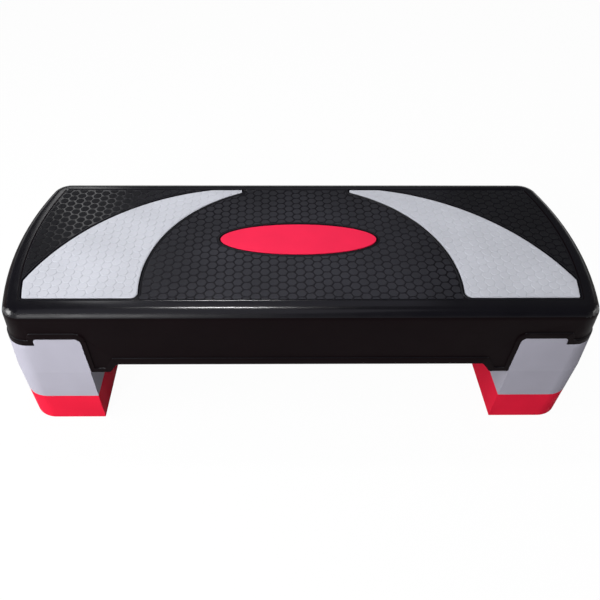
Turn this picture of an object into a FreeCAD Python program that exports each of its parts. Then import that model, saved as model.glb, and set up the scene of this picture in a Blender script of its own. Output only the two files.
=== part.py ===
import FreeCAD, Part
import math
import os
from FreeCAD import Vector

# Aerobic step platform: a ribbed deck on two stacks of nesting riser blocks.
# Millimetres. X runs along the deck, -Y is the front, Z is up and the floor is Z = 0.

# Plan of the platform at the level of the deck's feet
platform_length = 780.0
platform_depth = 298.0
corner_radius = 35.0
least_corner = 1.0
end_radius = 480.0

# Height that each layer adds
lower_riser_lift = 50.0
upper_riser_lift = 50.0
deck_height = 100.0

# Deck shell
draft_degrees = 4.0
deck_wall = 3.0
plate_thickness = 4.5
rim_round = 14.0
rim_width = 21.0
tread_depth = 0.8
tread_set_back = 2.0
cavity_bevel = 6.0

# Lower edge of the deck, with its rises measured from the floor under the deck's own feet
apron_rise = 15.0
lip_rise = 49.0
notch_rise = 59.5
notch_width = 61.5
notch_lean = 3.0
foot_width = 24.5
foot_slope_run = 10.5
apron_corner_round = 6.0
foot_corner_round = 3.5
notch_inner_round = 8.0
notch_outer_round = 4.5

# Proud band along that edge, with its height over each stretch and its width beside notches and feet
band_proud = 1.5
apron_band = 10.5
foot_band = 6.0
tab_band = 8.5
lip_band = 8.0
side_band = 5.5

# Ribs under the deck
deck_rib = 2.2
deck_rib_depth = 30.0
deck_cross_ribs = 8
deck_cross_pitch = 86.0
deck_long_ribs = 2
deck_long_pitch = 92.0

# Feet of the deck and their rubber plugs
foot_depth = 42.0
foot_wall = 2.5
plug_height = 8.0
plug_bevel = 3.0
plug_gap = 0.3
rubber_show = 1.0

# Inlays in the tread, with the crescents' reaches measured inwards from the platform's ends
inlay_thickness = 2.3
inlay_gap = 0.9
crescent_edge_gap = 2.2
crescent_set_back = 1.8
crescent_tip_reach = 310.0
crescent_inner_reach = 331.0
crescent_outer_reach = 268.5
crescent_heel_reach = 190.0
crescent_shoulder_y = -81.0
inner_sweep_radius = 207.0
outer_sweep_radius = 293.5
crescent_heel_round = 9.0
crescent_corner_round = 3.5
tip_round_share = 0.4
sharp_degrees = 8.0
oval_length = 214.0
oval_width = 66.0
oval_y = 2.0

# Riser blocks
riser_length = 118.6
riser_wall = 3.0
riser_top = 3.0
riser_rib = 2.2
riser_rib_rows = 2
riser_rib_pitch = 98.0
riser_rib_gap = 12.0
tab_step = 0.8
fit_gap = 0.6
collar_wall = 2.5
deck_collar_height = 11.0
riser_collar_height = 8.0

# Foot sockets of the lower risers and their rubber pads
socket_size = 25.0
socket_wall = 2.5
socket_inner_inset = 21.0
socket_outer_inset = 41.0
socket_side_inset = 30.0
pad_flange = 2.0
pad_stem = 10.0
pad_bevel = 3.0
stem_gap = 0.2

# Every cut runs past the face that it opens by this much
overrun = 5.0

# Levels and places that follow from the sizes above
draft = math.tan(math.radians(draft_degrees))
half_length = platform_length / 2
half_depth = platform_depth / 2
seam_z = lower_riser_lift
foot_z = seam_z + upper_riser_lift
top_z = foot_z + deck_height
plate_z = top_z - plate_thickness
tread_z = top_z - tread_depth
pocket_z = top_z - inlay_thickness
lip_z = foot_z + lip_rise
notch_z = foot_z + notch_rise
foot_edge_z = foot_z + rubber_show
riser_inner_x = half_length - riser_length
tab_x = riser_inner_x - tab_step
notch_inner_x = tab_x - fit_gap
notch_outer_x = notch_inner_x + notch_width
foot_inner_x = notch_inner_x - foot_width
end_x = half_length - end_radius
border_inset = band_proud + rim_width + deck_height * draft
collar_inset = band_proud + deck_wall + fit_gap


def corner_pivot(depth):
    """Centre of a corner's arc, which lies this deep inside the long side and the bowed end."""
    pivot_y = half_depth - depth
    return end_x + math.sqrt((end_radius - depth) ** 2 - pivot_y ** 2), pivot_y


def outline(inset, z):
    """Plan outline drawn in by inset: straight sides, round corners and bowed ends."""
    corner = max(corner_radius - inset, least_corner)
    pivot_x, pivot_y = corner_pivot(inset + corner)
    turn = math.atan2(pivot_y, pivot_x - end_x)
    middle = (turn + math.pi / 2) / 2
    edges = []
    for side in (1, -1):
        start = Vector(side * pivot_x, side * (inset - half_depth), z)
        stop = Vector(side * pivot_x, side * (half_depth - inset), z)
        tip = Vector(side * (half_length - inset), 0, z)
        arcs = {}
        for half in (-1, 1):
            centre = Vector(side * pivot_x, half * side * pivot_y, z)
            for angle in (turn, middle):
                spoke = Vector(math.cos(angle), half * math.sin(angle), 0)
                arcs[half, angle] = centre + spoke * (side * corner)
        edges.append(Part.Arc(start, arcs[-1, middle], arcs[-1, turn]).toShape())
        edges.append(Part.Arc(arcs[-1, turn], tip, arcs[1, turn]).toShape())
        edges.append(Part.Arc(arcs[1, turn], arcs[1, middle], stop).toShape())
        edges.append(Part.LineSegment(stop, Vector(-stop.x, stop.y, z)).toShape())
    return Part.Wire(edges)


def lean(z):
    """How far the drafted walls have drawn in at height z."""
    return (z - foot_z) * draft


def drafted(inset, low_z, high_z):
    """Solid between two heights whose walls lean in by the draft."""
    rings = [outline(inset + lean(z), z) for z in (low_z, high_z)]
    return Part.makeLoft(rings, True, True)


def plumb(inset, low_z, high_z):
    """Solid with upright walls between two heights."""
    return Part.Face(outline(inset, low_z)).extrude(Vector(0, 0, high_z - low_z))


def block(x_span, y_span, z_span):
    """Box given by its low and high place along each axis."""
    low = Vector(x_span[0], y_span[0], z_span[0])
    high = Vector(x_span[1], y_span[1], z_span[1])
    size = high - low
    return Part.makeBox(size.x, size.y, size.z, low)


def bevelled(body, bevel):
    """Box with its upright edges cut off."""
    height = body.BoundBox.ZLength
    corners = [edge for edge in body.Edges if edge.BoundBox.ZLength > height / 2]
    return body.makeChamfer(bevel, corners)


def spread(count, pitch):
    """Places of a row of ribs that is centred on the platform."""
    return [(index - (count - 1) / 2) * pitch for index in range(count)]


def around(place, width):
    """The span of a rib that is centred on a place."""
    return (place - width / 2, place + width / 2)


def mirrored(shape):
    """The same shape at the other end of the platform."""
    return shape.mirror(Vector(0, 0, 0), Vector(1, 0, 0))


def rounded_face(corners):
    """Flat face through corners, each given as a point and the radius that rounds it."""
    count = len(corners)
    turns = []
    for index, (point, radius) in enumerate(corners):
        before = (corners[index - 1][0] - point).normalize()
        after = (corners[(index + 1) % count][0] - point).normalize()
        half = before.getAngle(after) / 2
        reach = radius / math.tan(half)
        middle = point + (before + after).normalize() * (radius / math.sin(half) - radius)
        turns.append((point + before * reach, middle, point + after * reach))
    edges = []
    for index, (start, middle, stop) in enumerate(turns):
        if corners[index][1] > 0:
            edges.append(Part.Arc(start, middle, stop).toShape())
        edges.append(Part.LineSegment(stop, turns[(index + 1) % count][0]).toShape())
    return Part.Face(Part.Wire(edges))


def through(face):
    """Sweeps a side-view face right through the platform from front to back."""
    swept = face.extrude(Vector(0, platform_depth + 2 * overrun, 0))
    swept.translate(Vector(0, -half_depth - overrun, 0))
    return swept


def deck_side_face(band_share):
    """Side view of the deck above its lower edge, or with a share of 1 above the band along that edge."""
    far_x = half_length + platform_depth
    far_z = top_z + deck_height
    side = band_share * side_band
    apron_z = foot_z + apron_rise + band_share * apron_band
    edge_z = foot_edge_z + band_share * foot_band
    ceiling_z = notch_z + band_share * tab_band
    end_z = lip_z + band_share * lip_band
    right = [
        (Vector(foot_inner_x - foot_slope_run + side, 0, apron_z), apron_corner_round),
        (Vector(foot_inner_x + side, 0, edge_z), foot_corner_round),
        (Vector(notch_inner_x - side, 0, edge_z), 0),
        (Vector(notch_inner_x - side + notch_lean, 0, ceiling_z), notch_inner_round + side),
        (Vector(notch_outer_x + side, 0, ceiling_z), notch_outer_round),
        (Vector(notch_outer_x + side, 0, end_z), 0),
        (Vector(far_x, 0, end_z), 0),
        (Vector(far_x, 0, far_z), 0),
    ]
    left = [(Vector(-point.x, 0, point.z), radius) for point, radius in reversed(right)]
    return rounded_face(right + left)


def deck_body(inset):
    """Solid drafted body with a round rim, inset from the deck's skin."""
    body = drafted(band_proud + inset, foot_z, top_z - inset)
    rim = [edge for edge in body.Edges if edge.BoundBox.ZMin > plate_z]
    return body.makeFillet(rim_round - inset, rim)


def deck_walls():
    """The body hollowed and cut to its lower edge, with a proud band along that edge."""
    side = through(deck_side_face(0))
    band = side.cut(through(deck_side_face(1)))
    band = band.common(drafted(0, foot_z, notch_z + tab_band + overrun))
    cavity = drafted(band_proud + deck_wall, foot_z - overrun, plate_z)
    ceiling = [edge for edge in cavity.Edges if edge.BoundBox.ZMin > foot_z]
    cavity = cavity.makeChamfer(cavity_bevel, ceiling)
    return deck_body(0).common(side).fuse(band).cut(cavity)


def deck_ribs():
    """Lattice under the plate and the four walled feet, all running into the deck's walls."""
    lattice_z = (plate_z - deck_rib_depth, plate_z + plate_thickness / 2)
    full_x = (-half_length, half_length)
    full_y = (-half_depth, half_depth)
    ribs = [block(around(x, deck_rib), full_y, lattice_z) for x in spread(deck_cross_ribs, deck_cross_pitch)]
    ribs += [block(full_x, around(y, deck_rib), lattice_z) for y in spread(deck_long_ribs, deck_long_pitch)]
    foot_span_z = (foot_edge_z, lattice_z[1])
    seat_span_z = (foot_z + plug_height, lattice_z[1])
    foot_span_x = (foot_inner_x, notch_inner_x)
    rear_y = half_depth - foot_depth
    foot = [
        block((foot_inner_x, foot_inner_x + foot_wall), (rear_y, half_depth), foot_span_z),
        block((notch_inner_x - foot_wall, notch_inner_x), (rear_y, half_depth), foot_span_z),
        block(foot_span_x, (rear_y, rear_y + foot_wall), foot_span_z),
        block(foot_span_x, around(half_depth - foot_depth / 2, foot_wall), seat_span_z),
    ]
    for wall in foot:
        rear_wall = wall.mirror(Vector(0, 0, 0), Vector(0, 1, 0))
        ribs += [wall, rear_wall, mirrored(wall), mirrored(rear_wall)]
    web = ribs[0].multiFuse(ribs[1:])
    return web.common(deck_body(deck_wall / 2))


def sweep(rear, front, radius, gap):
    """Disc whose rim passes through two points and bulges towards the right end, grown by gap."""
    chord = front - rear
    inward = Vector(chord.y, -chord.x, 0).normalize()
    centre = (rear + front) / 2 + inward * math.sqrt(radius ** 2 - (chord.Length / 2) ** 2)
    return Part.Face(Part.Wire(Part.makeCircle(radius + gap, centre)))


def crescent_face(gap):
    """Plan of the right crescent, drawn in by gap: between two sweeps, inside the tread's border."""
    inset = border_inset + crescent_edge_gap
    set_back = tread_set_back + crescent_set_back
    rear_y = half_depth - inset + set_back
    front_y = inset - half_depth + set_back
    shoulder_reach = crescent_shoulder_y - set_back
    shoulder_x = end_x + math.sqrt((end_radius - inset) ** 2 - shoulder_reach ** 2)
    inner_rear = Vector(half_length - crescent_inner_reach, rear_y, 0)
    heel = Vector(half_length - crescent_heel_reach, front_y, 0)
    outer_rear = Vector(half_length - crescent_outer_reach, rear_y, 0)
    shoulder = Vector(shoulder_x, crescent_shoulder_y, 0)
    field = Part.Face(outline(inset + gap, 0))
    field.translate(Vector(0, set_back, 0))
    outer = sweep(outer_rear, shoulder, outer_sweep_radius, -gap)
    inner = sweep(inner_rear, heel, inner_sweep_radius, gap)
    blank = field.common(outer).cut(inner).extrude(Vector(0, 0, inlay_thickness))
    tip_x = half_length - crescent_tip_reach + gap
    room = block((tip_x, half_length), (-half_depth, half_depth), (0, inlay_thickness))
    slab = blank.common(room).Solids[0]
    front = [edge for edge in upright_corners(slab) if edge.CenterOfMass.y < 0]
    slab = slab.makeFillet(crescent_heel_round - gap, [min(front, key=lambda edge: edge.CenterOfMass.x)])
    corners = sorted(upright_corners(slab), key=lambda edge: edge.CenterOfMass.x)
    tip_width = abs(corners[0].CenterOfMass.y - corners[1].CenterOfMass.y)
    slab = slab.makeFillet(min(crescent_corner_round - gap, tip_width * tip_round_share), corners[:2])
    slab = slab.makeFillet(crescent_corner_round - gap, upright_corners(slab))
    return min(slab.Faces, key=lambda face: face.CenterOfMass.z)


def upright_corners(slab):
    """Upright edges of a slab where its sides turn sharply."""
    corners = []
    for edge in slab.Edges:
        if edge.BoundBox.ZLength < inlay_thickness / 2:
            continue
        normals = []
        for face in slab.ancestorsOfType(edge, Part.Face):
            normals.append(face.normalAt(*face.Surface.parameter(edge.CenterOfMass)))
        if normals[0].getAngle(normals[1]) > math.radians(sharp_degrees):
            corners.append(edge)
    return corners


def oval_face(gap):
    """Plan of the middle inlay, drawn in by gap."""
    curve = Part.Ellipse(Vector(0, oval_y, 0), oval_length / 2 - gap, oval_width / 2 - gap)
    return Part.Face(Part.Wire(curve.toShape()))


def inlay(face, level_z):
    """Plate from the floor of an inlay's pocket up to a level."""
    plate = face.extrude(Vector(0, 0, level_z - pocket_z))
    plate.translate(Vector(0, 0, pocket_z))
    return plate


def deck_shell():
    """The deck with its ribs, its sunken tread and the pockets of its inlays."""
    slope = tread_depth + overrun
    rings = [outline(border_inset, tread_z), outline(border_inset - slope, tread_z + slope)]
    tread = Part.makeLoft(rings, True, True)
    tread.translate(Vector(0, tread_set_back, 0))
    crescent_pocket = inlay(crescent_face(0), top_z)
    pockets = [crescent_pocket, mirrored(crescent_pocket), inlay(oval_face(0), top_z)]
    shell = deck_walls().fuse(deck_ribs())
    return shell.cut(tread.multiFuse(pockets)).removeSplitter()


def deck_plug():
    """Rubber plug of the deck's right rear foot."""
    plug_z = foot_z + plug_height
    x_span = (foot_inner_x + foot_wall + plug_gap, notch_inner_x - foot_wall - plug_gap)
    wall_y = half_depth - band_proud - deck_wall - lean(plug_z)
    y_span = (half_depth - foot_depth + foot_wall + plug_gap, wall_y - plug_gap)
    return bevelled(block(x_span, y_span, (foot_z, plug_z)), plug_bevel)


def leg(solid, inset):
    """The part of a solid in the right leg, inset from the leg's inner wall, which leans with the notch."""
    low_x = riser_inner_x + inset
    high_x = low_x + notch_lean * deck_height / notch_rise
    far_x = half_length + overrun
    corners = [(low_x, -overrun), (far_x, -overrun), (far_x, top_z), (high_x, top_z), (low_x, foot_z)]
    return solid.common(through(rounded_face([(Vector(x, 0, z), 0) for x, z in corners])))


def straight_runs(collar):
    """A collar of the right leg without its round corners."""
    pivot_x, pivot_y = corner_pivot(corner_radius)
    corner = block((pivot_x, half_length + overrun), (pivot_y, half_depth + overrun), (0, top_z))
    return collar.cut(corner.fuse(corner.mirror(Vector(0, 0, 0), Vector(0, 1, 0))))


def tabs():
    """Tabs of the right upper riser, which fill the deck's front and rear notches."""
    tab_z = notch_z - fit_gap
    outer_x = notch_outer_x - fit_gap
    face = rounded_face([
        (Vector(tab_x, 0, foot_z), 0),
        (Vector(outer_x, 0, foot_z), 0),
        (Vector(outer_x, 0, tab_z), notch_outer_round - fit_gap),
        (Vector(tab_x + notch_lean, 0, tab_z), notch_inner_round - fit_gap),
    ])
    wall = drafted(0, foot_z, notch_z).cut(drafted(riser_wall, foot_z - overrun, notch_z + overrun))
    return through(face).common(wall)


def riser_ribs(places_x, places_y, low_z, high_z, solid):
    """Crossed ribs inside a riser, running into its walls and its top."""
    span_z = (low_z, high_z + riser_top / 2)
    ribs = [block(around(x, riser_rib), (-half_depth, half_depth), span_z) for x in places_x]
    ribs += [block((riser_inner_x, half_length), around(y, riser_rib), span_z) for y in places_y]
    return ribs[0].multiFuse(ribs[1:]).common(leg(solid, riser_wall / 2))


def upper_riser():
    """Right upper riser: upright below the deck's feet, drafted above them, with a collar and tabs."""
    ceiling_z = lip_z - riser_top
    collar_z = lip_z + deck_collar_height
    skin = leg(plumb(0, seam_z, foot_z), 0).fuse(leg(drafted(0, foot_z, lip_z), 0))
    hollow = plumb(riser_wall, seam_z - overrun, foot_z).fuse(drafted(riser_wall, foot_z, ceiling_z))
    collar = leg(drafted(collar_inset, ceiling_z, collar_z), 0)
    collar = collar.cut(leg(drafted(collar_inset + collar_wall, ceiling_z, collar_z + overrun), collar_wall))
    core = plumb(riser_wall / 2, seam_z, foot_z).fuse(drafted(riser_wall / 2, foot_z, lip_z))
    middle_x = half_length - riser_length / 2
    rows_y = spread(riser_rib_rows, riser_rib_pitch)
    ribs = riser_ribs([middle_x], rows_y, seam_z + riser_rib_gap, ceiling_z, core)
    body = skin.cut(leg(hollow, riser_wall))
    return body.multiFuse([straight_runs(collar), tabs(), ribs]).removeSplitter()


def socket_places():
    """Places of the four foot sockets of the right lower riser."""
    places_x = (riser_inner_x + socket_inner_inset, half_length - socket_outer_inset)
    places_y = (socket_side_inset - half_depth, half_depth - socket_side_inset)
    return places_x, places_y


def socket_posts(size, low_z, high_z):
    """Four square posts at the sockets' places."""
    places_x, places_y = socket_places()
    span_z = (low_z, high_z)
    return [block(around(x, size), around(y, size), span_z) for x in places_x for y in places_y]


def lower_riser():
    """Right lower riser: an upright block with a collar on top and sockets for its pads below."""
    ceiling_z = seam_z - riser_top
    collar_z = seam_z + riser_collar_height
    ring_inset = riser_wall + fit_gap
    places_x, places_y = socket_places()
    skin = leg(plumb(0, rubber_show, seam_z), 0)
    hollow = leg(plumb(riser_wall, rubber_show - overrun, ceiling_z), riser_wall)
    collar = leg(plumb(ring_inset, ceiling_z, collar_z), ring_inset)
    room = ring_inset + collar_wall
    collar = collar.cut(leg(plumb(room, ceiling_z, collar_z + overrun), room))
    core = plumb(riser_wall / 2, rubber_show, seam_z)
    ribs = riser_ribs(places_x, places_y + (0,), rubber_show + riser_rib_gap, ceiling_z, core)
    sockets = socket_posts(socket_size, pad_flange, ceiling_z)
    bores = socket_posts(socket_size - 2 * socket_wall, pad_flange - overrun, ceiling_z)
    body = skin.cut(hollow).multiFuse([straight_runs(collar), ribs] + sockets)
    return body.cut(bores[0].multiFuse(bores[1:])).removeSplitter()


def riser_pads():
    """Rubber pads of the right lower riser: a flange under each socket and a stem inside it."""
    stem_size = socket_size - 2 * (socket_wall + stem_gap)
    stem_z = pad_flange + pad_stem
    flanges = socket_posts(socket_size, 0, pad_flange)
    stems = socket_posts(stem_size, pad_flange, stem_z)
    return [bevelled(flange, pad_bevel).fuse(stem) for flange, stem in zip(flanges, stems)]


def build():
    """Every piece of the platform by its node name."""
    crescent = inlay(crescent_face(inlay_gap), tread_z)
    nodes = {
        "deck_shell": deck_shell(),
        "right_crescent_inlay": crescent,
        "left_crescent_inlay": mirrored(crescent),
        "oval_inlay": inlay(oval_face(inlay_gap), top_z),
        "right_upper_riser": upper_riser(),
        "right_lower_riser": lower_riser(),
    }
    for level in ("upper", "lower"):
        nodes["left_%s_riser" % level] = mirrored(nodes["right_%s_riser" % level])
    for index, pad in enumerate(riser_pads(), 1):
        nodes["right_pad_%d" % index] = pad
        nodes["left_pad_%d" % index] = mirrored(pad)
    rear = deck_plug()
    front = rear.mirror(Vector(0, 0, 0), Vector(0, 1, 0))
    for index, plug in enumerate((front, mirrored(front), rear, mirrored(rear)), 1):
        nodes["deck_pad_%d" % index] = plug
    return nodes


def main():
    os.makedirs("parts", exist_ok=True)
    for name, shape in build().items():
        shape.Solids[0].exportStep("parts/%s.step" % name)


if __name__ == "__main__":
    main()
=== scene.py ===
import math

import bmesh
import bpy
import numpy
from bmesh.types import BMEdge, BMFace, BMVert
from bpy.props import FloatProperty, FloatVectorProperty, PointerProperty
from mathutils import Matrix, Quaternion, Vector


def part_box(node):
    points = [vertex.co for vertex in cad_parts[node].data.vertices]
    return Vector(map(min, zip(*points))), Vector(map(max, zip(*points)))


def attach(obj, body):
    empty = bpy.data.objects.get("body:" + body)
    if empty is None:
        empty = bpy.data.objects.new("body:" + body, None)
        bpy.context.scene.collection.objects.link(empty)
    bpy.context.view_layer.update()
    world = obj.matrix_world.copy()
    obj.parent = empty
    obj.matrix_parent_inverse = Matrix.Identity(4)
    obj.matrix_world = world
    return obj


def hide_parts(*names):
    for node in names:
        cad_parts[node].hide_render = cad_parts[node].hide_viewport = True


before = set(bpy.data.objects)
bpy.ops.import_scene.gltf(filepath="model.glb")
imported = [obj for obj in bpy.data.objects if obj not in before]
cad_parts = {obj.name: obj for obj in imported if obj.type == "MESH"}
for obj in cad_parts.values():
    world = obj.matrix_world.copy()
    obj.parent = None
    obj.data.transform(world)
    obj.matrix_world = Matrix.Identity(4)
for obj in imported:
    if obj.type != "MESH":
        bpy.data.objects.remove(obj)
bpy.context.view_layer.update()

bl_info = {
    "name": "Aerobic Step Platform",
    "version": (1, 0, 0),
    "blender": (4, 5, 0),
    "location": "View3D > Sidebar > Step",
    "description": "Dresses the packed solids of an aerobic step platform and sets its studio",
    "category": "Object",
}

MM = 0.001

# Heights of the tread, the rim's top and foot, and the soles of the deck's stub feet
TREAD_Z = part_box("right_crescent_inlay")[1].z
TOP_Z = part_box("deck_shell")[1].z
RIM_Z = TOP_Z - 20 * MM
FOOT_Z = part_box("deck_pad_1")[0].z

# Lengths too short to count: between points to merge, off a cut, off a height, between ties and past a limit
MERGE_GAP = 0.002 * MM
CUT_GAP = 0.001 * MM
LEVEL_GAP = 0.05 * MM
TIE_GAP = 0.01 * MM
TRIM_GAP = 0.02 * MM

# The deck's finishes from the top down, and the upward parts of a normal under which the next one follows
RIM, SHOULDER, WALL = range(3)
FINISH_SLOPES = (0.75, 0.4, -0.5)

# Parts of a normal from which a face counts as flat, as rounding a corner, as facing up or as facing a side
FLAT_SLOPE = 0.9
CORNER_SLOPE = 0.5
UP_SLOPE = 0.3
SIDE_SHARE = 0.3

# Depths under the top between which the rim's polish comes in
POLISH_START = 8 * MM
POLISH_STOP = 4 * MM

# The spot round which the pads are painted a lighter grey as a sheen, the distances between which that
# painted sheen ends, and how that wanders
SHEEN_SPOT = (0, -80 * MM, TREAD_Z)
SHEEN_START = 100 * MM
SHEEN_STOP = 300 * MM
SHEEN_WANDER = 30 * MM
SHEEN_LUMPS = 90 * MM

# How the plastics' grain, gloss and colour wander
GRAIN_STRENGTH = 0.5
GLOSS_LUMPS = 25 * MM
GLOSS_RANGE = (0.9, 1.12)
CLOUD_LUMPS = 60 * MM

# Least area of a level part with pads, least pad as a share of its cell, and how often a pad is cut back
LEAST_PATCH = (20 * MM) ** 2
LEAST_PAD = 0.06
TRIM_TRIES = 6

# Steps across a bead, and those of the lip painted dull black as the shade in the gap beside an inlay
BEAD_STEPS = 8
GAP_SHADE_STEPS = 3

# Angles from which an edge is sharp and up to which faces are one, and the large faces' hold on the shading
SHARP_ANGLE = math.radians(28)
OVAL_SHARP_ANGLE = math.radians(40)
FLAT_ANGLE = math.radians(0.5)
FLAT_WEIGHT = 80

# The studio: the floor's own grey, the white in what is seen of it, and where the white walls fade upwards
FLOOR_GREY = 0.3
FLOOR_GLOW = 0.97
WALL_FADE = (0.08, 0.25)
WHITE = (1, 1, 1, 1)

# The camera, with its turn to the right, down and round its own axis in degrees
CAMERA_PLACE = (-0.0399, -0.6203, 0.6942)
CAMERA_TURN = (0.769, 44.491, 0.451)
CAMERA_SHIFT = 0.0417
SENSOR_WIDTH = 36


# Sizes, colours and lights that a user would change


def length(name, default, description):
    return FloatProperty(
        name=name, description=description, default=default, min=0, subtype="DISTANCE", unit="LENGTH",
    )


def colour(name, default, description):
    return FloatVectorProperty(
        name=name, description=description, default=default, size=3, min=0, max=1, subtype="COLOR",
    )


def watts(name, default, description):
    return FloatProperty(name=name, description=description, default=default, min=0, unit="POWER")


def share(name, default, description):
    return FloatProperty(name=name, description=description, default=default, min=0, max=1, subtype="FACTOR")


class StepSizes(bpy.types.PropertyGroup):
    """Sizes of the pads, borders and roundings"""

    cell: length("Cell", 13.1 * MM, "Honeycomb pitch across the flats")
    groove: length("Groove", 2.0 * MM, "Width of the grooves between the black pads")
    inlay_groove: length("Inlay groove", 1.2 * MM, "Width of the grooves between the grey pads")
    bead_width: length("Bead width", 1.8 * MM, "Width of the bead along the tread's border")
    bead_height: length("Bead height", 0.15 * MM, "Height of the bead along the tread's border")
    lip_width: length("Lip width", 3.6 * MM, "Width of the lip round the inlays' pockets")
    lip_height: length("Lip height", 0.6 * MM, "Height of the lip round the inlays' pockets")
    rim_margin: length("Rim margin", 2.6 * MM, "Strip without pads between the tread and the rim")
    pocket_margin: length("Pocket margin", 4.6 * MM, "Strip without pads between the tread and the inlays")
    inlay_margin: length("Inlay margin", 1.2 * MM, "Bare strip between the grey pads and the inlay's edge")
    pad_height: length("Pad height", 0.45 * MM, "Height of the black pads")
    inlay_pad_height: length("Inlay pad height", 0.42 * MM, "Height of the grey pads")
    pad_bevel: length("Pad bevel", 0.2 * MM, "Bevel round the top of a pad")
    pad_corner: length("Pad corner", 1.7 * MM, "Length that a rounded corner takes off a pad's side")
    oval_bevel: length("Oval bevel", 0.5 * MM, "Rounding of the oval's upper edge")


class StepColours(bpy.types.PropertyGroup):
    """Colours of the plastics and the rubber"""

    # The blue in this black is a painted bluish sheen for the rim
    deck: colour("Deck", (0.0030, 0.0026, 0.0048), "Glossy black of the rim")
    wall: colour("Walls", (0.0045, 0.0020, 0.0027), "Satin black of the deck's walls")
    tread: colour("Tread", (0.009, 0.009, 0.011), "Matte black of the honeycomb pads")
    # Lighter grey painted on the pads' middle as a sheen of light
    tread_sheen: colour("Tread sheen", (0.030, 0.030, 0.037), "Lighter grey painted on the pads round the front middle as a sheen")
    inlay_grey: colour("Grey inlays", (0.575, 0.588, 0.64), "Grey of the crescents")
    inlay_red: colour("Red inlay", (0.95, 0.020, 0.080), "Red of the oval")
    riser_grey: colour("Upper risers", (0.48, 0.47, 0.55), "Grey of the upper risers")
    riser_red: colour("Lower risers", (0.95, 0.020, 0.060), "Red of the lower risers")
    rubber: colour("Rubber", (0.02, 0.02, 0.021), "Black of the rubber pads")


class StepStage(bpy.types.PropertyGroup):
    """Floor, lens and lights of the studio"""

    floor_size: length("Floor", 9.0, "Side of the square floor")
    lens: FloatProperty(name="Lens", description="Focal length", default=34.79, min=1, unit="CAMERA")
    key_watts: watts("Key", 13.4, "Softbox at the front left")
    strip_watts: watts("Strip", 9.2, "Lamp overhead that the rim mirrors as a line")
    panel_watts: watts("Panel", 0.95, "Dim panel at the back")
    side_watts: watts("Side", 8.0, "Softbox at the left")
    window_watts: watts("Window", 0.6, "Window light at the back left")
    gleam_watts: watts("Gleam", 0.9, "Low window at the right")
    fill_watts: watts("Fill", 4.1, "Wide dim panel above the front")
    sky: share("Sky", 0.15, "Strength of the light from all round")
    ceiling: share("Ceiling", 0.08, "Brightness of the room above its white walls")


# Materials


class Nodes:
    """Adds and links the nodes of one material, or of the world."""

    def __init__(self, owner, output="ShaderNodeOutputMaterial"):
        owner.use_nodes = True
        self.tree = owner.node_tree
        self.tree.nodes.clear()
        self.output = self.add(output)

    def feed(self, socket, value):
        """Sets an input to a value, or links it to an output."""
        if isinstance(value, bpy.types.NodeSocket):
            self.tree.links.new(value, socket)
        else:
            socket.default_value = value

    def add(self, kind, settings=(), **values):
        """New node with its settings and with values or outputs for its inputs."""
        node = self.tree.nodes.new(kind)
        for name, value in dict(settings).items():
            setattr(node, name, value)
        for name, value in values.items():
            self.feed(node.inputs[name.replace("_", " ")], value)
        return node

    def place(self):
        """The point of the piece that is shaded, on the piece's own coordinates."""
        return self.add("ShaderNodeTexCoord").outputs["Object"]

    def height(self):
        """Height above the floor."""
        return self.add("ShaderNodeSeparateXYZ", Vector=self.place()).outputs["Z"]

    def noise(self, size, detail=2.0, roughness=0.5):
        """Noise whose lumps are about size across."""
        node = self.add(
            "ShaderNodeTexNoise", Vector=self.place(), Scale=1 / size, Detail=detail, Roughness=roughness,
        )
        return node.outputs["Fac"]

    def ramp(self, value, low, high, start=0.3, stop=0.7):
        """Spreads a value, such as a noise, from its own range over another."""
        node = self.add(
            "ShaderNodeMapRange", Value=value, From_Min=start, From_Max=stop, To_Min=low, To_Max=high,
        )
        return node.outputs["Result"]

    def math(self, operation, *values):
        """Result of an operation on numbers or outputs."""
        node = self.add("ShaderNodeMath", {"operation": operation})
        for socket, value in zip(node.inputs, values):
            self.feed(socket, value)
        return node.outputs["Value"]

    def tint(self, value, tone, low, high):
        """The tone times a value that wanders between two shares."""
        node = self.add(
            "ShaderNodeVectorMath", {"operation": "SCALE"}, Vector=tone, Scale=self.ramp(value, low, high),
        )
        return node.outputs["Vector"]

    def painted_sheen(self, tone, sheen_tone):
        """The tone, turning into the lighter sheen tone near the tread's front middle: a painted sheen."""
        away = self.add("ShaderNodeVectorMath", {"operation": "DISTANCE"})
        self.feed(away.inputs[0], self.place())
        self.feed(away.inputs[1], SHEEN_SPOT)
        wander = self.ramp(self.noise(SHEEN_LUMPS), -SHEEN_WANDER, SHEEN_WANDER)
        far = self.math("ADD", away.outputs["Value"], wander)
        sheen_share = self.ramp(far, 1, 0, SHEEN_START, SHEEN_STOP)
        node = self.add("ShaderNodeMix", {"data_type": "RGBA"}, Factor=sheen_share)
        tones = [socket for socket in node.inputs if socket.type == "RGBA"]
        for socket, value in zip(tones, (tone, sheen_tone)):
            socket.default_value = (*value, 1)
        return next(socket for socket in node.outputs if socket.type == "RGBA")

    def mix(self, part, first, second):
        """Shader that goes from the first to the second as the part goes from 0 to 1."""
        node = self.add("ShaderNodeMixShader", Fac=part)
        self.feed(node.inputs[1], first)
        self.feed(node.inputs[2], second)
        return node.outputs["Shader"]

    def finish(self, surface):
        """Makes a shader the surface of the material or the world."""
        self.feed(self.output.inputs["Surface"], surface)


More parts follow.
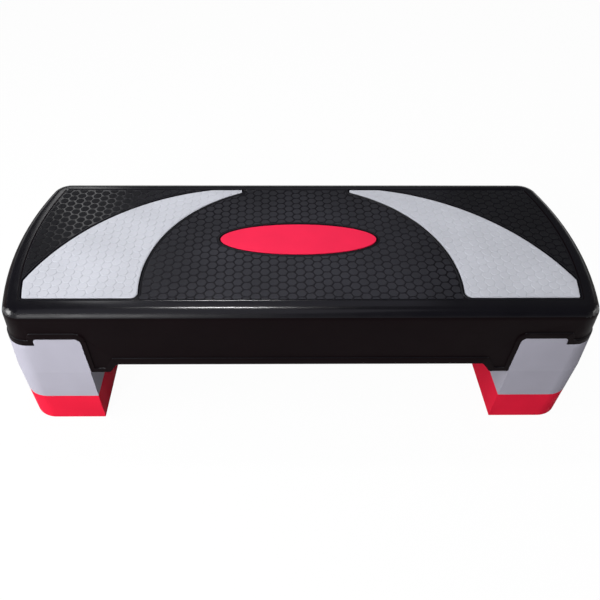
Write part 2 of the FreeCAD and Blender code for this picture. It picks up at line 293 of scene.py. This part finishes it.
def moulded(name, tone, roughness, grain, depth, specular, cloud=0.05, polish=None, sheen_tone=None):
    """Moulded plastic: fine spark-eroded grain, slight clouding of its colour and uneven gloss.

    Where polish is given, it is the roughness of the top of the piece, which the rounded rim runs into.
    Where sheen_tone is given, the colour turns into it towards the tread's front middle, as a painted sheen.
    """
    material = bpy.data.materials.new(name)
    nodes = Nodes(material)
    fine = nodes.noise(grain, detail=3.0, roughness=0.6)
    bump = nodes.add("ShaderNodeBump", Height=fine, Strength=GRAIN_STRENGTH, Distance=depth)
    dullness = roughness
    if polish is not None:
        dullness = nodes.ramp(nodes.height(), roughness, polish, TOP_Z - POLISH_START, TOP_Z - POLISH_STOP)
    uneven = nodes.ramp(nodes.noise(GLOSS_LUMPS, detail=4.0, roughness=0.6), *GLOSS_RANGE)
    base = tuple(tone)
    if sheen_tone is not None:
        base = nodes.painted_sheen(base, tuple(sheen_tone))
    shader = nodes.add(
        "ShaderNodeBsdfPrincipled",
        Base_Color=nodes.tint(nodes.noise(CLOUD_LUMPS), base, 1 - cloud, 1 + cloud),
        Roughness=nodes.math("MULTIPLY", dullness, uneven),
        Specular_IOR_Level=specular,
        Normal=bump.outputs["Normal"],
    )
    nodes.finish(shader.outputs["BSDF"])
    return material


# Shapes


def finish_piece(name, bm, materials, body, slot):
    """Makes a piece of a bmesh and lets it move with a body."""
    mesh = bpy.data.meshes.new(name)
    bm.to_mesh(mesh)
    bm.free()
    piece = bpy.data.objects.new(name, mesh)
    bpy.context.scene.collection.objects.link(piece)
    for material in materials:
        mesh.materials.append(material)
    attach(piece, body)
    return piece


def dress(node, material):
    """Gives a CAD node its material."""
    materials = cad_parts[node].data.materials
    materials.clear()
    materials.append(material)


def merged_copy(node):
    """A CAD node's mesh with its loose triangles joined."""
    bm = bmesh.new()
    bm.from_mesh(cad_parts[node].data)
    bmesh.ops.remove_doubles(bm, verts=bm.verts, dist=MERGE_GAP)
    bmesh.ops.dissolve_degenerate(bm, edges=bm.edges, dist=MERGE_GAP)
    bm.normal_update()
    return bm


def soften(piece, angle, crease_z=None):
    """Shades a piece smooth between its sharp edges and a crease, with the large faces staying flat."""
    mesh = piece.data
    mesh.shade_smooth()
    mesh.set_sharp_from_angle(angle=angle)
    if crease_z is not None:
        for edge in mesh.edges:
            if all(abs(mesh.vertices[index].co.z - crease_z) < LEVEL_GAP for index in edge.vertices):
                edge.use_edge_sharp = True
    normals = piece.modifiers.new("Flat faces", "WEIGHTED_NORMAL")
    normals.keep_sharp = True
    normals.weight = FLAT_WEIGHT


def deck_finish(face):
    """Which of the deck's finishes a face has.

    The ends and the back keep the walls' finish up to the flat top. The front corners shine like the rim, and
    below the rim nothing does.
    """
    slope = face.normal.z
    finish = sum(slope < limit for limit in FINISH_SLOPES)
    if face.normal.y > -SIDE_SHARE and slope < FLAT_SLOPE:
        return max(finish, WALL)
    if abs(face.normal.x) > SIDE_SHARE and slope > CORNER_SLOPE:
        return RIM
    if face.calc_center_median().z < RIM_Z:
        return max(finish, SHOULDER)
    return finish


def of_kind(kind, items):
    """The vertices, edges or faces among mixed items of a mesh."""
    return [item for item in items if isinstance(item, kind)]


def level_faces(bm, level):
    """Faces at a height that join into patches wide enough for pads."""
    left = {face for face in bm.faces if all(abs(vert.co.z - level) < LEVEL_GAP for vert in face.verts)}
    tops = set()
    while left:
        patch = [left.pop()]
        for face in patch:
            near = {other for edge in face.edges for other in edge.link_faces} & left
            left -= near
            patch.extend(near)
        if sum(face.calc_area() for face in patch) > LEAST_PATCH:
            tops.update(patch)
    return tops


def border_of(bm, level):
    """Edges round the level part at a height, with their way inward and whether what lies beyond faces up."""
    tops = level_faces(bm, level)
    for edge in bm.edges:
        inside = [face for face in edge.link_faces if face in tops]
        if len(inside) != 1:
            continue
        start, stop = (vert.co for vert in edge.verts)
        inward = Vector((0, 0, 1)).cross(stop - start).normalized()
        if inward.dot(inside[0].calc_center_median() - start) < 0:
            inward.negate()
        beside_up = any(face.normal.z > UP_SLOPE for face in edge.link_faces if face not in tops)
        yield edge, inward, beside_up


class Region:
    """The level part of a CAD node at a height, known by its edges seen from above.

    Pads keep one margin from an edge beside a surface that faces up, and another from the rest.
    """

    def __init__(self, node, level, margin_beside_up, margin):
        bm = merged_copy(node)
        starts, stops, outs, margins = [], [], [], []
        for edge, inward, beside_up in border_of(bm, level):
            start, stop = (vert.co.xy for vert in edge.verts)
            starts.append(start)
            stops.append(stop)
            outs.append(-inward.xy)
            margins.append(margin_beside_up if beside_up else margin)
        bm.free()
        self.starts = numpy.array(starts)
        self.runs = numpy.array(stops) - self.starts
        self.outs = numpy.array(outs)
        self.margins = numpy.array(margins)
        self.low = self.starts.min(axis=0)
        self.high = self.starts.max(axis=0)

    def limit_near(self, point):
        """Room of a point inside the limit that the nearest edge sets, with a place on it and its way out."""
        place = numpy.array(point[:2])
        along = ((place - self.starts) * self.runs).sum(axis=1) / (self.runs ** 2).sum(axis=1)
        feet = self.starts + self.runs * numpy.clip(along, 0, 1)[:, None]
        gaps = numpy.linalg.norm(place - feet, axis=1)
        nearest = numpy.flatnonzero(gaps < gaps.min() + TIE_GAP)
        signed = ((feet - place) * self.outs).sum(axis=1)
        index = max(nearest, key=lambda item: abs(signed[item]))
        sign = 1 if signed[index] >= 0 else -1
        limit = feet[index] - self.outs[index] * self.margins[index]
        room = sign * gaps[index] - self.margins[index]
        return room, Vector((*limit, 0)), Vector((*self.outs[index], 0))


def border_bead(node, level, width, height, beside_up, gap_shade_steps=0):
    """Low rounded line just inside a node's level part, along its border with what faces up or with the rest.

    The steps nearest the border have the second material, a dull black painted as the shade in the gap beside
    an inlay.
    """
    bm = merged_copy(node)
    inward = bm.verts.layers.float_vector.new("inward")
    border = []
    for edge, way, up in border_of(bm, level):
        if up == beside_up:
            border.append(edge)
            for vert in edge.verts:
                vert[inward] = vert[inward] + way
    bmesh.ops.delete(bm, geom=list(set(bm.edges) - set(border)), context="EDGES")
    edges = bm.edges[:]
    for step in range(BEAD_STEPS):
        grown = bmesh.ops.extrude_edge_only(bm, edges=edges)["geom"]
        edges = of_kind(BMEdge, grown)
        for face in of_kind(BMFace, grown):
            face.material_index = int(step < gap_shade_steps)
        rise = math.sin(math.pi * (step + 1) / BEAD_STEPS) - math.sin(math.pi * step / BEAD_STEPS)
        for vert in of_kind(BMVert, grown):
            vert.co += vert[inward].normalized() * width / BEAD_STEPS + Vector((0, 0, height * rise))
    bmesh.ops.recalc_face_normals(bm, faces=bm.faces)
    bmesh.ops.reverse_faces(bm, faces=[face for face in bm.faces if face.normal.z < 0])
    return bm


def trim_cell(bm, verts, region):
    """Cuts a flat cell back until it lies inside the region's limits."""
    for _ in range(TRIM_TRIES):
        edges = {edge for vert in verts for edge in vert.link_edges}
        points = [vert.co for vert in verts] + [(edge.verts[0].co + edge.verts[1].co) / 2 for edge in edges]
        if not points:
            return
        room, limit, out = min((region.limit_near(point) for point in points), key=lambda found: found[0])
        if room > -TRIM_GAP:
            return
        faces = {face for vert in verts for face in vert.link_faces}
        limit.z = verts[0].co.z
        cut = bmesh.ops.bisect_plane(
            bm, geom=[*verts, *edges, *faces], dist=CUT_GAP, plane_co=limit, plane_no=out, clear_outer=True,
        )
        verts = [vert for vert in of_kind(BMVert, cut["geom"]) if vert.is_valid]


def honeycomb(region, level, height, groove, sizes):
    """Raised six-sided pads with rounded corners over a region, trimmed along its edges."""
    bm = bmesh.new()
    side = sizes.cell / math.sqrt(3)
    radius = side - groove / math.sqrt(3)
    turn = Matrix.Rotation(math.radians(30), 4, "Z")
    pitch = (1.5 * side, sizes.cell)
    columns, rows = (
        range(math.ceil(low / step) - 1, math.floor(high / step) + 2)
        for low, high, step in zip(region.low, region.high, pitch)
    )
    for column in columns:
        for row in rows:
            centre = Vector((column * pitch[0], (row + column % 2 / 2) * pitch[1], level))
            if region.limit_near(centre)[0] > -radius:
                bmesh.ops.create_circle(
                    bm, cap_ends=True, segments=6, radius=radius, matrix=Matrix.Translation(centre) @ turn,
                )
    bmesh.ops.bevel(
        bm, geom=bm.verts[:], offset=sizes.pad_corner, offset_type="OFFSET",
        affect="VERTICES", segments=2, profile=0.5, material=-1,
    )
    for face in bm.faces[:]:
        if region.limit_near(face.calc_center_median())[0] < radius:
            trim_cell(bm, face.verts[:], region)
    slivers = [face for face in bm.faces if face.calc_area() < LEAST_PAD * sizes.cell ** 2]
    bmesh.ops.delete(bm, geom=slivers, context="FACES")
    raised = bmesh.ops.extrude_face_region(bm, geom=bm.faces[:], use_keep_orig=True)["geom"]
    bevel = min(sizes.pad_bevel, height / 2)
    bmesh.ops.translate(bm, verts=of_kind(BMVert, raised), vec=Vector((0, 0, height - bevel)))
    bmesh.ops.recalc_face_normals(bm, faces=bm.faces)
    bmesh.ops.inset_individual(bm, faces=of_kind(BMFace, raised), thickness=bevel, depth=bevel)
    return bm


# Operators


class STEP_OT_deck(bpy.types.Operator):
    """Dress the deck: glossy rim, duller shoulder, satin walls and dull ribs"""

    bl_idname = "step.deck"
    bl_label = "Deck"

    def execute(self, context):
        colours = context.scene.step_colours
        finishes = [
            moulded(
                "deck_rim", colours.deck, roughness=0.34, grain=0.9 * MM, depth=0.002 * MM, specular=0.5,
                cloud=0.1, polish=0.21,
            ),
            moulded(
                "deck_shoulder", colours.deck, roughness=0.38, grain=0.9 * MM, depth=0.003 * MM, specular=0.2,
                cloud=0.1,
            ),
            moulded(
                "deck_wall", colours.wall, roughness=0.48, grain=0.8 * MM, depth=0.01 * MM, specular=0.04,
                cloud=0.1,
            ),
            moulded(
                "deck_underside", colours.deck, roughness=0.55, grain=0.8 * MM, depth=0.02 * MM, specular=0.2,
                cloud=0.1,
            ),
        ]
        bm = merged_copy("deck_shell")
        for face in bm.faces:
            face.material_index = deck_finish(face)
        deck = finish_piece("deck", bm, finishes, "deck", "deck_black")
        soften(deck, SHARP_ANGLE)
        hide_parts("deck_shell")
        return {"FINISHED"}


class STEP_OT_tread(bpy.types.Operator):
    """Cover the tread with black honeycomb pads"""

    bl_idname = "step.tread"
    bl_label = "Tread pads"

    def execute(self, context):
        sizes = context.scene.step_sizes
        colours = context.scene.step_colours
        # The pads' black turns lighter round the front middle: a painted sheen
        matte = moulded(
            "tread_black", colours.tread, roughness=0.5, grain=0.6 * MM, depth=0.03 * MM, specular=0.12,
            cloud=0.12, sheen_tone=colours.tread_sheen,
        )
        region = Region("deck_shell", TREAD_Z, sizes.rim_margin, sizes.pocket_margin)
        bm = honeycomb(region, TREAD_Z, sizes.pad_height, sizes.groove, sizes)
        finish_piece("tread_pads", bm, [matte], "deck", "deck_black")
        return {"FINISHED"}


class STEP_OT_borders(bpy.types.Operator):
    """Lay the glossy bead along the tread's border and the lip round the inlays' pockets"""

    bl_idname = "step.borders"
    bl_label = "Tread borders"

    def execute(self, context):
        sizes = context.scene.step_sizes
        colours = context.scene.step_colours
        gloss = moulded(
            "tread_border", colours.deck, roughness=0.2, grain=0.9 * MM, depth=0.002 * MM, specular=0.5,
            cloud=0.1,
        )
        bm = border_bead("deck_shell", TREAD_Z, sizes.bead_width, sizes.bead_height, True)
        bead = finish_piece("tread_border", bm, [gloss], "deck", "deck_black")
        bead.data.shade_smooth()
        satin = moulded(
            "pocket_lip", colours.tread, roughness=0.45, grain=0.9 * MM, depth=0.002 * MM, specular=0.1,
            cloud=0.1,
        )
        # Dull black strip painted at the lip's foot as the shade in the gap beside an inlay
        shade = moulded(
            "pocket_gap_shade", colours.deck, roughness=0.7, grain=0.8 * MM, depth=0.02 * MM, specular=0.02,
            cloud=0.1,
        )
        bm = border_bead("deck_shell", TREAD_Z, sizes.lip_width, sizes.lip_height, False, GAP_SHADE_STEPS)
        lip = finish_piece("pocket_lip", bm, [satin, shade], "deck", "deck_black")
        lip.data.shade_smooth()
        return {"FINISHED"}


class STEP_OT_crescents(bpy.types.Operator):
    """Dress the two crescents and cover them with grey honeycomb pads"""

    bl_idname = "step.crescents"
    bl_label = "Crescents"

    def execute(self, context):
        sizes = context.scene.step_sizes
        colours = context.scene.step_colours
        grey = moulded(
            "inlay_grey", colours.inlay_grey, roughness=0.5, grain=0.6 * MM, depth=0.02 * MM, specular=0.2,
        )
        for side in ("left", "right"):
            node = side + "_crescent_inlay"
            dress(node, grey)
            region = Region(node, TREAD_Z, sizes.inlay_margin, sizes.inlay_margin)
            bm = honeycomb(region, TREAD_Z, sizes.inlay_pad_height, sizes.inlay_groove, sizes)
            finish_piece(side + "_crescent_pads", bm, [grey], "deck", "inlay_grey")
        return {"FINISHED"}


class STEP_OT_oval(bpy.types.Operator):
    """Dress the red oval and round its upper edge"""

    bl_idname = "step.oval"
    bl_label = "Oval"

    def execute(self, context):
        sizes = context.scene.step_sizes
        colours = context.scene.step_colours
        red = moulded(
            "inlay_red", colours.inlay_red, roughness=0.42, grain=0.5 * MM, depth=0.01 * MM, specular=0.12,
        )
        bm = merged_copy("oval_inlay")
        bmesh.ops.dissolve_limit(bm, angle_limit=FLAT_ANGLE, verts=bm.verts, edges=bm.edges)
        top = max(bm.faces, key=lambda face: face.calc_center_median().z)
        bmesh.ops.bevel(
            bm, geom=top.edges[:], offset=sizes.oval_bevel, offset_type="OFFSET",
            affect="EDGES", segments=3, profile=0.5, material=-1, clamp_overlap=True,
        )
        oval = finish_piece("oval_plate", bm, [red], "deck", "inlay_red")
        soften(oval, OVAL_SHARP_ANGLE)
        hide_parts("oval_inlay")
        return {"FINISHED"}


class STEP_OT_risers(bpy.types.Operator):
    """Dress the upper and lower risers"""

    bl_idname = "step.risers"
    bl_label = "Risers"

    def execute(self, context):
        colours = context.scene.step_colours
        grain = {"roughness": 0.55, "grain": 0.7 * MM, "depth": 0.015 * MM}
        finishes = {
            "riser_grey": moulded("riser_grey", colours.riser_grey, **grain, specular=0.015),
            "riser_red": moulded("riser_red", colours.riser_red, **grain, specular=0.01),
        }
        slots = {"upper": "riser_grey", "lower": "riser_red"}
        for side in ("left", "right"):
            for level, slot in slots.items():
                node = "%s_%s_riser" % (side, level)
                bm = merged_copy(node)
                riser = finish_piece(node + "_skin", bm, [finishes[slot]], "%s_%s" % (side, level), slot)
                soften(riser, SHARP_ANGLE, FOOT_Z)
                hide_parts(node)
        return {"FINISHED"}


class STEP_OT_rubber(bpy.types.Operator):
    """Dress the rubber pads under the lower risers and in the deck's feet"""

    bl_idname = "step.rubber"
    bl_label = "Rubber pads"

    def execute(self, context):
        colours = context.scene.step_colours
        rubber = moulded(
            "rubber", colours.rubber, roughness=0.7, grain=0.5 * MM, depth=0.04 * MM, specular=0.3,
        )
        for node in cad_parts:
            if "_pad_" in node:
                dress(node, rubber)
        return {"FINISHED"}


def softbox(name, power, place, aim, width, height, tone=(1, 1, 1)):
    """Area lamp that faces a point."""
    lamp = bpy.data.lights.new(name, "AREA")
    lamp.color = tone
    lamp.shape = "RECTANGLE"
    lamp.size = width
    lamp.size_y = height
    lamp.energy = power
    holder = bpy.data.objects.new(name, lamp)
    holder.location = place
    holder.rotation_euler = (Vector(aim) - Vector(place)).to_track_quat("-Z", "Y").to_euler()
    bpy.context.scene.collection.objects.link(holder)


def seen_as_background(nodes):
    """1 where the eye, a reflection or a see-through ray meets the surface first."""
    path = nodes.add("ShaderNodeLightPath").outputs
    seen = nodes.math("MAXIMUM", path["Is Camera Ray"], path["Is Glossy Ray"])
    return nodes.math("MAXIMUM", seen, path["Is Transmission Ray"])


class STEP_OT_stage(bpy.types.Operator):
    """Set the floor, the lights and the camera"""

    bl_idname = "step.stage"
    bl_label = "Stage"

    def execute(self, context):
        scene = context.scene
        stage = scene.step_stage
        scene.view_settings.view_transform = "Standard"
        self.lay_floor(stage)
        self.hang_lamps(stage)
        self.light_room(scene, stage)
        self.place_camera(scene, stage)
        return {"FINISHED"}

    def lay_floor(self, stage):
        """Grey floor that lights the object from below and is seen as white paper with a shadow."""
        material = bpy.data.materials.new("studio_floor")
        nodes = Nodes(material)
        matte = nodes.add("ShaderNodeBsdfDiffuse", Color=(FLOOR_GREY, FLOOR_GREY, FLOOR_GREY, 1))
        pale = nodes.add("ShaderNodeBsdfDiffuse", Color=WHITE)
        glow = nodes.add("ShaderNodeEmission", Color=WHITE, Strength=1.0)
        paper = nodes.mix(FLOOR_GLOW, pale.outputs["BSDF"], glow.outputs["Emission"])
        nodes.finish(nodes.mix(seen_as_background(nodes), matte.outputs["BSDF"], paper))
        bm = bmesh.new()
        bmesh.ops.create_grid(bm, x_segments=1, y_segments=1, size=stage.floor_size / 2)
        mesh = bpy.data.meshes.new("studio_floor")
        bm.to_mesh(mesh)
        bm.free()
        mesh.materials.append(material)
        floor = bpy.data.objects.new("studio_floor", mesh)
        bpy.context.scene.collection.objects.link(floor)

    def hang_lamps(self, stage):
        """Lamps round the object, each with its power, place, aim, width, height and any tint."""
        softbox("front_left_softbox", stage.key_watts, (-0.67, -1.2, 0.8), (-0.1, 0, 0.1), 0.4, 0.55)
        softbox("overhead_strip", stage.strip_watts, (-0.225, 0.5, 1.6), (-0.05, -0.1, 0.2), 0.32, 0.14)
        softbox("back_panel", stage.panel_watts, (-0.05, 1.4, 1.6), (0, -0.1, 0.2), 1.6, 0.7, (0.84, 0.84, 1))
        softbox("left_softbox", stage.side_watts, (-1.3, -0.35, 0.6), (0.1, -0.05, 0.1), 0.5, 0.5)
        softbox("back_left_window", stage.window_watts, (-0.82, 1.45, 1.19), (-0.3, 0.07, 0.2), 0.2, 0.4)
        softbox("right_window", stage.gleam_watts, (1.5, -0.25, 0.5), (0.38, -0.13, 0.19), 0.5, 0.16)
        softbox(
            "front_ceiling_panel", stage.fill_watts, (-0.4, -0.8, 1.9), (-0.3, -0.5, 0.2), 1.7, 1.8,
            (0.92, 0.9, 1),
        )

    def light_room(self, scene, stage):
        """Soft light from all round, white to the eye, and in reflections a dim ceiling over white walls."""
        world = scene.world or bpy.data.worlds.new("studio")
        scene.world = world
        nodes = Nodes(world, "ShaderNodeOutputWorld")
        way = nodes.add("ShaderNodeTexCoord").outputs["Generated"]
        rise = nodes.add("ShaderNodeSeparateXYZ", Vector=way).outputs["Z"]
        walls = nodes.ramp(rise, 1.0, stage.ceiling, *WALL_FADE)
        level = nodes.add(
            "ShaderNodeMix", {"data_type": "FLOAT"}, Factor=seen_as_background(nodes), A=stage.sky, B=walls,
        )
        eye = nodes.add("ShaderNodeLightPath").outputs["Is Camera Ray"]
        strength = nodes.math("MAXIMUM", eye, level.outputs["Result"])
        room = nodes.add("ShaderNodeBackground", Color=WHITE, Strength=strength)
        nodes.finish(room.outputs["Background"])

    def place_camera(self, scene, stage):
        """Camera in front of the object, a little to the left and well above it."""
        yaw, pitch, roll = (math.radians(angle) for angle in CAMERA_TURN)
        lens = bpy.data.cameras.new("camera")
        lens.sensor_width = SENSOR_WIDTH
        lens.lens = stage.lens
        lens.shift_x = CAMERA_SHIFT
        camera = bpy.data.objects.new("camera", lens)
        camera.location = CAMERA_PLACE
        ahead = Vector((math.sin(yaw) * math.cos(pitch), math.cos(yaw) * math.cos(pitch), -math.sin(pitch)))
        turn = ahead.to_track_quat("-Z", "Y") @ Quaternion((0, 0, 1), roll)
        camera.rotation_euler = turn.to_euler()
        scene.collection.objects.link(camera)
        scene.camera = camera


class STEP_PT_panel(bpy.types.Panel):
    """Lists the sizes, colours and lights, with a button for each operator"""

    bl_label = "Step platform"
    bl_idname = "STEP_PT_panel"
    bl_space_type = "VIEW_3D"
    bl_region_type = "UI"
    bl_category = "Step"

    def draw(self, context):
        for group in GROUPS:
            owner = getattr(context.scene, group)
            box = self.layout.box()
            for name in owner.bl_rna.properties.keys():
                if name not in ("rna_type", "name"):
                    box.prop(owner, name)
        for operator in OPERATORS:
            self.layout.operator(operator.bl_idname)


GROUPS = {"step_sizes": StepSizes, "step_colours": StepColours, "step_stage": StepStage}
OPERATORS = (
    STEP_OT_deck, STEP_OT_tread, STEP_OT_borders, STEP_OT_crescents,
    STEP_OT_oval, STEP_OT_risers, STEP_OT_rubber, STEP_OT_stage,
)
CLASSES = (*GROUPS.values(), *OPERATORS, STEP_PT_panel)


def register():
    for item in CLASSES:
        bpy.utils.register_class(item)
    for name, group in GROUPS.items():
        setattr(bpy.types.Scene, name, PointerProperty(type=group))


def unregister():
    for name in GROUPS:
        delattr(bpy.types.Scene, name)
    for item in reversed(CLASSES):
        bpy.utils.unregister_class(item)


def main():
    register()
    bpy.ops.step.deck()
    bpy.ops.step.tread()
    bpy.ops.step.borders()
    bpy.ops.step.crescents()
    bpy.ops.step.oval()
    bpy.ops.step.risers()
    bpy.ops.step.rubber()
    bpy.ops.step.stage()


if __name__ == "__main__":
    main()
